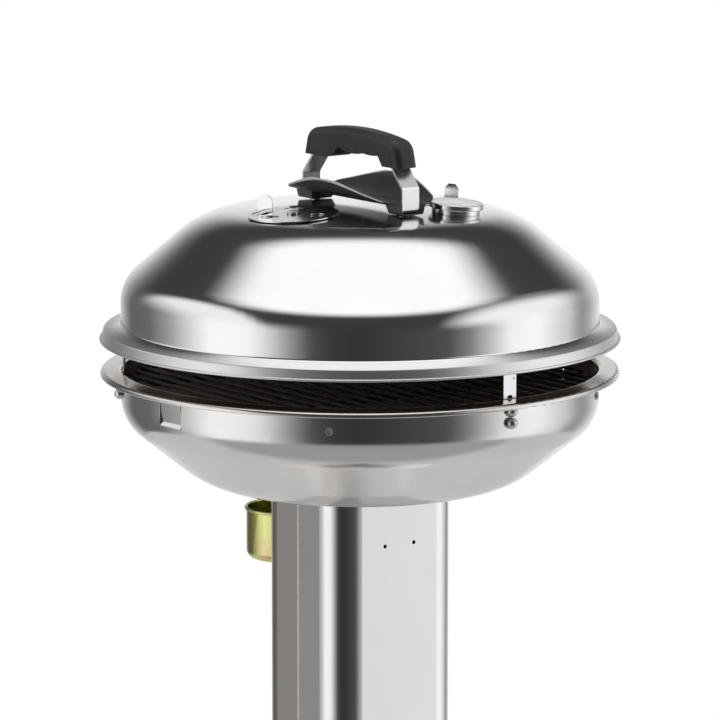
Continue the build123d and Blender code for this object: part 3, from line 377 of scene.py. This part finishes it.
def bowl_finish():
    """Satin sheet with a faint heat tint at the rim, browned on the inside."""
    finish = polished_sheet("bowl_satin", (0.76, 0.75, 0.74), (0.71, 0.70, 0.69), 0.13, 0.21, strength=0.02)
    tree = finish.tree
    radius, height = finish.polar()

    patch = spread(tree, finish.effect(smudges, Size=14.0), 0.0, 1.0, 0.1, 0.5)
    finish.tint(all_of(tree, fade(tree, height, *BOWL_TINT), patch), (0.56, 0.47, 0.38))
    inward = finish.faces_against(finish.from_axis())
    finish.recolour(all_of(tree, inward, fade(tree, height, *BOWL_BROWNED)), (0.72, 0.60, 0.53), 0.50)

    crest = bend_lean(tree, radius, height, BOWL_CREST, -UPRIGHT, BOWL_RIM)
    edge = bend_lean(tree, radius, height, BOWL_EDGE, BOWL_RIM, BOWL_LIP)
    lean = math(tree, "SUBTRACT", math(tree, "ADD", crest, edge), radians(BOWL_RIM))
    facing_up = split(tree, put(tree, "ShaderNodeNewGeometry").outputs["True Normal"])[2]
    high = math(tree, "GREATER_THAN", height, BOWL_SHOULDER)
    past_wall = math(tree, "GREATER_THAN", radius, BOWL_WALL[1])
    rim = all_of(
        tree,
        past_wall,
        math(tree, "GREATER_THAN", facing_up, UNDERSIDE),
        math(tree, "GREATER_THAN", height, BOWL_BEAD),
    )
    inner = all_of(
        tree,
        inward,
        high,
        math(tree, "GREATER_THAN", radius, BOWL_WALL[0] - BOWL_SHEET),
        math(tree, "LESS_THAN", radius, BOWL_CREST[0]),
    )
    top = math(tree, "MAXIMUM", rim, inner)
    wall = all_of(
        tree,
        negate(tree, inward),
        high,
        math(tree, "GREATER_THAN", radius, BOWL_WALL[0]),
        math(tree, "LESS_THAN", radius, BOWL_WALL[1]),
    )
    finish.turned_normal(math(tree, "MAXIMUM", top, wall), blend_number(tree, top, radians(UPRIGHT), lean))
    return finish.material


def lid_finish():
    """Mirror-bright outside, browned inside and softer on the flange, which the polishing wheel doesn't reach."""
    finish = polished_sheet("lid_mirror", (0.80, 0.80, 0.80), (0.77, 0.77, 0.77), 0.09, 0.16)
    tree = finish.tree
    radius, height = finish.polar()

    outward = vector(tree, "NORMALIZE", finish.from_axis())
    inside = finish.faces_against(vector(tree, "ADD", outward, (0.0, 0.0, 1.0)))
    outside = negate(tree, inside)
    browned = all_of(tree, inside, math(tree, "LESS_THAN", radius, LID_FILLET[0]))
    finish.recolour(browned, (0.30, 0.23, 0.19), 0.38)
    finish.recolour(all_of(tree, fade(tree, height, *LID_DULL), outside), (0.78, 0.78, 0.78), 0.36)

    fillet = bend_lean(tree, radius, height, LID_FILLET, LID_FLANGE, UPRIGHT, hollow=True)
    edge = bend_lean(tree, radius, height, LID_EDGE, LID_FLANGE, LID_LIP)
    low = fade(tree, height, LID_SHOULDER, LID_SHOULDER - LID_SHOULDER_FADE)
    above_bead = math(tree, "GREATER_THAN", height, LID_BEAD)
    finish.turned_normal(all_of(tree, low, outside, above_bead), math(tree, "MAXIMUM", fillet, edge))
    return finish.material


# The pillar's folded edges at the seams, where a painted highlight begins and is full, and where its flanks begin,
# in metres from the middle
SEAM_HIGHLIGHT_EDGE = (0.0016, 0.0008)
PILLAR_FLANK = 0.07


def pillar_finish():
    """Brushed sheet with a painted highlight along the folded edges at the side seams."""
    finish = polished_sheet(
        "pillar_satin", (0.76, 0.76, 0.77), (0.73, 0.73, 0.74), 0.04, 0.09, 700.0, drawn_grain, 0.02
    )
    tree = finish.tree
    x, y, _ = split(tree, finish.place)
    painted_seam_highlight = fade(tree, math(tree, "ABSOLUTE", y), *SEAM_HIGHLIGHT_EDGE)
    flank = math(tree, "GREATER_THAN", math(tree, "ABSOLUTE", x), PILLAR_FLANK)
    rear = math(tree, "GREATER_THAN", y, 0.0)
    finish.recolour(all_of(tree, rear, flank), (0.70, 0.66, 0.63), 0.10)
    # Painted highlight: a pale, rough colour along the folded edges at the seams stands in for light caught on
    # their rounded bends
    finish.recolour(all_of(tree, painted_seam_highlight, flank), (0.96, 0.95, 0.93), 0.6)
    return finish.material


# Yellow zinc: colours along the plating's drift, and how tight its bands are along each axis
ZINC_DRIFT = (
    (0.28, (0.64, 0.50, 0.30)),
    (0.40, (0.44, 0.50, 0.12)),
    (0.50, (0.72, 0.74, 0.22)),
    (0.62, (0.70, 0.72, 0.27)),
    (0.74, (0.67, 0.52, 0.31)),
)
ZINC_BANDS = (55.0, 55.0, 7.0)


def colour_ramp(tree, value, stops):
    """Colours along a value from nought to one."""
    ramp = put(tree, "ShaderNodeValToRGB")
    elements = ramp.color_ramp.elements
    for element, (position, colour) in zip(elements, (stops[0], stops[-1])):
        element.position = position
        element.color = (*colour, 1.0)
    for position, colour in stops[1:-1]:
        elements.new(position).color = (*colour, 1.0)
    join(tree, value, ramp.inputs[0])
    return ramp.outputs[0]


def zinc_finish():
    """Yellow zinc plating that drifts in upright bands between straw, green and pink."""
    finish = Finish("zinc_yellow", metallic=1.0)
    tree = finish.tree
    bands = noise(tree, vector(tree, "MULTIPLY", finish.place, ZINC_BANDS))
    finish.colour(colour_ramp(tree, bands, ZINC_DRIFT))
    grit = finish.effect(fine_grit, Fineness=900.0)
    finish.roughness(spread(tree, grit, *NOISE_MIDDLE, 0.20, 0.30))
    finish.bump(grit, 0.01, 0.0003)
    return finish.material


def scorched_finish():
    """Steel that fire has coloured brown and blue."""
    finish = Finish("scorched_steel", metallic=1.0)
    patch = finish.effect(smudges, Size=16.0)
    finish.colour(blend_colour(finish.tree, patch, (0.30, 0.24, 0.19), (0.20, 0.21, 0.27)))
    grit = finish.effect(fine_grit, Fineness=700.0)
    finish.roughness(spread(finish.tree, grit, *NOISE_MIDDLE, 0.4, 0.6))
    finish.bump(grit, 0.08, 0.0004)
    return finish.material


def glass_finish():
    """Clear gauge glass with a faint film on it."""
    finish = Finish("gauge_glass")
    finish.shader.inputs["Transmission Weight"].default_value = 1.0
    finish.shader.inputs["IOR"].default_value = 1.45
    patch = finish.effect(smudges, Size=60.0)
    finish.roughness(spread(finish.tree, patch, 0.0, 1.0, 0.0, 0.04))
    finish.colour(blend_colour(finish.tree, patch, (0.97, 0.98, 0.98), (0.93, 0.95, 0.95)))
    return finish.material


# Each side of the heat shield's outline is an arc: how far its centre lies past the middle, and the distances from
# that centre of the band along the edge where a highlight is painted, in metres
SHIELD_ARC = 0.196
SHIELD_HIGHLIGHT_EDGE = (0.2458, 0.2464)


def shield_finish():
    """Dark coated plate with a painted highlight along its cut edge."""
    finish = coated("shield_coat", (0.040, 0.037, 0.034), (0.055, 0.050, 0.046), 0.24, 0.34, 900.0, 0.04, 0.0003)
    tree = finish.tree
    x, y, _ = split(tree, finish.place)
    side = math(tree, "ADD", math(tree, "ABSOLUTE", x), SHIELD_ARC)
    # Painted highlight: a pale colour along the cut edge stands in for light caught on the plate's edge
    finish.tint(spread(tree, flat_length(tree, side, y), *SHIELD_HIGHLIGHT_EDGE), (0.62, 0.60, 0.57))
    return finish.material


# Plain sheets: clean and smudged colour, least and most roughness
SHEETS = {
    "vent_mirror": ((0.80, 0.80, 0.80), (0.77, 0.77, 0.77), 0.09, 0.16),
    "bright_steel": ((0.68, 0.67, 0.65), (0.60, 0.58, 0.56), 0.16, 0.28),
    "strap_satin": ((0.95, 0.94, 0.92), (0.90, 0.89, 0.87), 0.24, 0.34),
    "stud_satin": ((0.74, 0.73, 0.71), (0.66, 0.64, 0.62), 0.36, 0.46),
}
# Plain coats: clean and worn colour, least and most roughness, fineness, strength and depth of the grit
COATS = {
    "grip_plastic": ((0.020, 0.018, 0.016), (0.030, 0.027, 0.025), 0.42, 0.56, 1400.0, 0.12, 0.0004),
    "black_enamel": ((0.090, 0.080, 0.074), (0.110, 0.098, 0.090), 0.60, 0.75, 500.0, 0.06, 0.0004),
    "dial_paint": ((0.84, 0.84, 0.81), (0.79, 0.79, 0.76), 0.5, 0.6, 2000.0, 0.02, 0.0001),
    "needle_paint": ((0.42, 0.04, 0.03), (0.36, 0.04, 0.03), 0.35, 0.45, 1500.0, 0.02, 0.0001),
    "tick_paint": ((0.03, 0.03, 0.03), (0.05, 0.05, 0.05), 0.5, 0.6, 1500.0, 0.02, 0.0001),
    "foot_rubber": ((0.03, 0.03, 0.03), (0.045, 0.045, 0.045), 0.6, 0.75, 900.0, 0.12, 0.0004),
}
sheets = {name: polished_sheet(name, *values).material for name, values in SHEETS.items()}
coats = {name: coated(name, *values).material for name, values in COATS.items()}

slot_finishes = {
    "mirror_steel": sheets["vent_mirror"],
    "satin_steel": pillar_finish(),
    "fastener_steel": sheets["bright_steel"],
    "moulded_grip": coats["grip_plastic"],
    "shield_coat": shield_finish(),
    "zinc_yellow": zinc_finish(),
    "dark_enamel": coats["black_enamel"],
    "burnt_steel": scorched_finish(),
    "dial_white": coats["dial_paint"],
    "needle_red": coats["needle_paint"],
    "clear_glass": glass_finish(),
    "foot_rubber": coats["foot_rubber"],
}
piece_finishes = {
    "bowl": bowl_finish(),
    "lid_shell": lid_finish(),
    "handle_strap_front": sheets["strap_satin"],
    "handle_strap_rear": sheets["strap_satin"],
    "grate_studs": sheets["stud_satin"],
}
for subpart in frame["record"]["subparts"]:
    name = subpart["node"]
    materials = nodes[name].data.materials
    materials.clear()
    materials.append(piece_finishes.get(name, slot_finishes[subpart["material_slot"]]))


# Printed scale of the thermometer: its size in metres, and how far it lies under the needle's place
TICK_COUNT = 28
TICK_RING = 0.021
TICK_LENGTH = 0.003
TICK_WIDTH = 0.0006
TICK_HEIGHT = 0.00008
TICK_DROP = 0.00026


def tick_ring_tree():
    """Short bars set round a circle, for the dial's scale."""
    tree = bpy.data.node_groups.new("tick_ring", "GeometryNodeTree")
    sizes = {}
    for label, kind, value in (
        ("Count", "NodeSocketInt", TICK_COUNT),
        ("Radius", "NodeSocketFloat", TICK_RING),
        ("Length", "NodeSocketFloat", TICK_LENGTH),
        ("Width", "NodeSocketFloat", TICK_WIDTH),
        ("Height", "NodeSocketFloat", TICK_HEIGHT),
        ("Finish", "NodeSocketMaterial", None),
    ):
        socket = tree.interface.new_socket(label, in_out="INPUT", socket_type=kind)
        if value is not None:
            socket.default_value = value
        sizes[label] = socket.identifier
    tree.interface.new_socket("Geometry", in_out="OUTPUT", socket_type="NodeSocketGeometry")
    given = put(tree, "NodeGroupInput")
    result = put(tree, "NodeGroupOutput")
    ring = put(tree, "GeometryNodeMeshCircle")
    bar = put(tree, "GeometryNodeMeshCube")
    size = put(tree, "ShaderNodeCombineXYZ")
    place = put(tree, "GeometryNodeInputPosition")
    turn = put(tree, "FunctionNodeAlignRotationToVector", axis="X")
    spots = put(tree, "GeometryNodeInstanceOnPoints")
    solid = put(tree, "GeometryNodeRealizeInstances")
    paint = put(tree, "GeometryNodeSetMaterial")
    join(tree, given.outputs["Count"], ring.inputs["Vertices"])
    join(tree, given.outputs["Radius"], ring.inputs["Radius"])
    for axis, label in enumerate(("Length", "Width", "Height")):
        join(tree, given.outputs[label], size.inputs[axis])
    join(tree, size.outputs[0], bar.inputs["Size"])
    join(tree, place.outputs[0], turn.inputs["Vector"])
    join(tree, ring.outputs[0], spots.inputs["Points"])
    join(tree, bar.outputs["Mesh"], spots.inputs["Instance"])
    join(tree, turn.outputs[0], spots.inputs["Rotation"])
    join(tree, spots.outputs[0], solid.inputs[0])
    join(tree, solid.outputs[0], paint.inputs["Geometry"])
    join(tree, given.outputs["Finish"], paint.inputs["Material"])
    join(tree, paint.outputs[0], result.inputs[0])
    return tree, sizes


def grown_mesh(name, tree, values):
    """Runs a geometry tree on an empty mesh and returns the result as plain mesh data."""
    carrier = bpy.data.objects.new(name, bpy.data.meshes.new(name))
    scene.collection.objects.link(carrier)
    modifier = carrier.modifiers.new(name, "NODES")
    modifier.node_group = tree
    for identifier, value in values.items():
        modifier[identifier] = value
    graph = bpy.context.evaluated_depsgraph_get()
    mesh = bpy.data.meshes.new_from_object(carrier.evaluated_get(graph))
    bpy.data.objects.remove(carrier)
    return mesh


needle_joint = next(joint for joint in frame["joints"] if joint["name"] == "needle_turn")
dial_normal = Vector(needle_joint["axis"]).normalized()
dial_place = Vector(needle_joint["pos_m"]) - dial_normal * TICK_DROP
dial_frame = Matrix.Translation(dial_place) @ dial_normal.to_track_quat("Z", "Y").to_matrix().to_4x4()
tick_tree, tick_sizes = tick_ring_tree()
tick_mesh = grown_mesh("dial_ticks", tick_tree, {tick_sizes["Finish"]: coats["tick_paint"]})
tick_mesh.transform(dial_frame)
dial_ticks = bpy.data.objects.new("dial_ticks", tick_mesh)
scene.collection.objects.link(dial_ticks)
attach(dial_ticks, "lid")


# Room and light

# Brightness round the object at eye level, by degrees from the camera's side; positive is to its left
ROOM_LEVELS = (
    (-180, 1.00), (-160, 0.80), (-152, 0.68), (-143, 0.46), (-134, 0.34), (-126, 0.46), (-118, 0.74),
    (-110, 0.86), (-103, 1.00), (-95, 1.20), (-89, 1.20), (-76, 1.10), (-65, 0.64), (-54, 0.26), (-43, 0.09),
    (0, 0.04), (14, 0.05), (24, 0.09), (34, 0.38), (44, 0.80), (54, 1.15), (76, 1.20), (89, 0.80),
    (103, 0.40), (120, 0.16), (143, 0.14), (160, 0.55), (180, 1.00),
)
# Brightness higher up: the dark room, the panel overhead, and those at the right and the left
DARK_ROOM = 0.05
OVERHEAD_LEVEL = 1.25
RIGHT_LEVEL = 1.1
LEFT_LEVEL = 1.05
# Where these begin and are complete, as shares of a direction's length
OVERHEAD = (0.72, 0.90)
RIGHT_SIDE = (-0.54, -0.84)
LEFT_SIDE = (0.66, 0.80)
EYE_LEVEL = (0.05, 0.50)
# Floor as mirrored by the part: its brightness far from the camera, and a darker level near the camera that is a
# painted shadow of the object, and where it changes, in metres ahead of the axis
FLOOR_LEVEL = 0.66
FLOOR_SHADOWED_AHEAD = 0.42
FLOOR_CHANGE = (0.20, 0.45)
# Floor as seen: its radius, its drop under the feet, and where it fades into white, in metres
FLOOR_RADIUS = 1.7
FLOOR_DROP = 0.0005
FLOOR_FADE = (0.7, 1.65)


def make_floor():
    """Round pale floor that fades into the white background at its edge."""
    bpy.ops.mesh.primitive_circle_add(
        vertices=96, radius=FLOOR_RADIUS, fill_type="NGON", location=(0, 0, -FLOOR_DROP)
    )
    floor = bpy.context.object
    floor.name = "floor"
    finish = Finish("floor_paint")
    tree = finish.tree
    finish.shader.inputs["Roughness"].default_value = 0.8
    speckle = noise(tree, finish.place, 30.0)
    finish.colour(blend_colour(tree, speckle, (0.80, 0.80, 0.79), (0.84, 0.84, 0.83)))

    path = put(tree, "ShaderNodeLightPath").outputs
    edge = fade(tree, vector(tree, "LENGTH", finish.place), *FLOOR_FADE)
    seen = all_of(tree, edge, path["Is Camera Ray"])
    mirrored = path["Is Glossy Ray"]
    # Painted shadow: metal mirrors the floor near the camera darker, standing in for the object's shadow on it
    ahead = vector(tree, "DOT_PRODUCT", finish.place, TO_CAMERA)
    shade = spread(tree, ahead, *FLOOR_CHANGE, FLOOR_LEVEL, FLOOR_SHADOWED_AHEAD, True)
    white = put(tree, "ShaderNodeEmission")
    join(tree, blend_number(tree, mirrored, 1.0, shade), white.inputs["Strength"])
    mix = put(tree, "ShaderNodeMixShader")
    join(tree, math(tree, "MAXIMUM", seen, mirrored), mix.inputs[0])
    join(tree, finish.shader.outputs[0], mix.inputs[1])
    join(tree, white.outputs[0], mix.inputs[2])
    join(tree, mix.outputs[0], tree.nodes["Material Output"].inputs["Surface"])
    floor.data.materials.append(finish.material)


def make_world():
    """White backdrop behind the object, pale panels at both sides and overhead, dark on the camera's side."""
    world = bpy.data.worlds.new("studio")
    scene.world = world
    world.use_nodes = True
    tree = world.node_tree
    tree.nodes.clear()
    look = put(tree, "ShaderNodeTexCoord").outputs["Generated"]
    height = split(tree, look)[2]
    to_camera = vector(tree, "DOT_PRODUCT", look, TO_CAMERA)
    to_left = vector(tree, "DOT_PRODUCT", look, TO_LEFT)
    bearing = spread(tree, math(tree, "ARCTAN2", to_left, to_camera), -pi, pi)
    stops = [((angle + 180) / 360, (level, level, level)) for angle, level in ROOM_LEVELS]
    around = colour_ramp(tree, bearing, stops)

    level = spread(tree, height, *OVERHEAD, DARK_ROOM, OVERHEAD_LEVEL, True)
    for side, most in ((RIGHT_SIDE, RIGHT_LEVEL), (LEFT_SIDE, LEFT_LEVEL)):
        level = math(tree, "MAXIMUM", level, spread(tree, to_left, *side, 0.0, most, True))
    room = put(tree, "ShaderNodeBackground")
    join(tree, blend_colour(tree, fade(tree, height, *EYE_LEVEL), around, level), room.inputs[0])
    white = put(tree, "ShaderNodeBackground")
    white.inputs[0].default_value = (1.0, 1.0, 1.0, 1.0)
    path = put(tree, "ShaderNodeLightPath").outputs
    mix = put(tree, "ShaderNodeMixShader")
    join(tree, math(tree, "MAXIMUM", path["Is Camera Ray"], path["Is Transmission Ray"]), mix.inputs[0])
    join(tree, room.outputs[0], mix.inputs[1])
    join(tree, white.outputs[0], mix.inputs[2])
    join(tree, mix.outputs[0], put(tree, "ShaderNodeOutputWorld").inputs[0])


def softbox(name, place, target, width, height, power):
    """Flat studio lamp that faces its target."""
    data = bpy.data.lights.new(name, "AREA")
    data.shape = "RECTANGLE"
    data.size = width
    data.size_y = height
    data.energy = power
    lamp = bpy.data.objects.new(name, data)
    lamp.location = place
    lamp.rotation_euler = (Vector(target) - Vector(place)).to_track_quat("-Z", "Y").to_euler()
    lamp.visible_glossy = False
    scene.collection.objects.link(lamp)


make_floor()
make_world()
softbox("overhead_lamp", (0.25, -0.15, 3.5), (0.0, 0.0, 0.9), width=1.9, height=1.5, power=16.0)
softbox("left_lamp", (-2.4, 0.15, 1.3), (0.0, 0.0, 0.8), width=0.9, height=1.8, power=9.0)
